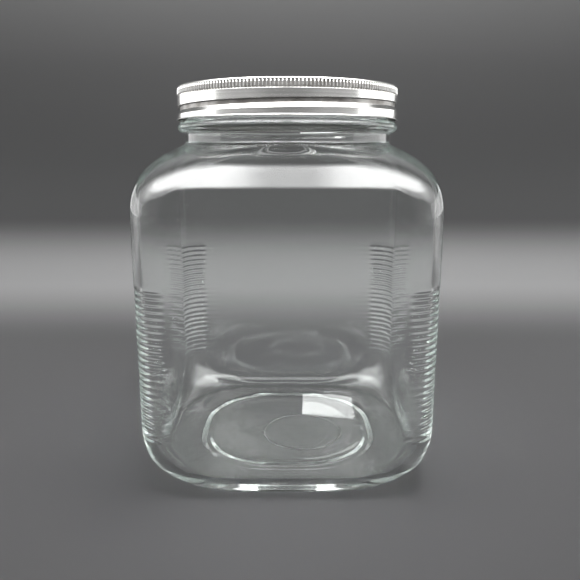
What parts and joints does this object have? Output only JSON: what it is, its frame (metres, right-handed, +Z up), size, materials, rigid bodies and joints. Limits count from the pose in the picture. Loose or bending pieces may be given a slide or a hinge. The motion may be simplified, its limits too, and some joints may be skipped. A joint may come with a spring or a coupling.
{
  "type": "square glass storage jar with a screw lid",
  "caption": "Empty clear glass canister: square body with rounded, ribbed corners, round neck with a bead, and a brushed metal screw lid with a knurled edge.",
  "frame": {"origin": "centre of the square base, on the plane of the ring that the jar stands on", "axes": "+Z up through the neck and lid, +X to the right and -Y out of the side that faces the camera"},
  "size_m": [0.162, 0.162, 0.2193],
  "materials": {
    "glass": "clear pressed glass, polished, slightly grey-green where it is thick",
    "lid_metal": "brushed sheet metal with a fine knurl round its upper edge"
  },
  "bodies": {
    "root": {"glass_jar": "glass", "screw_lid": "lid_metal"}
  },
  "joints": []
}
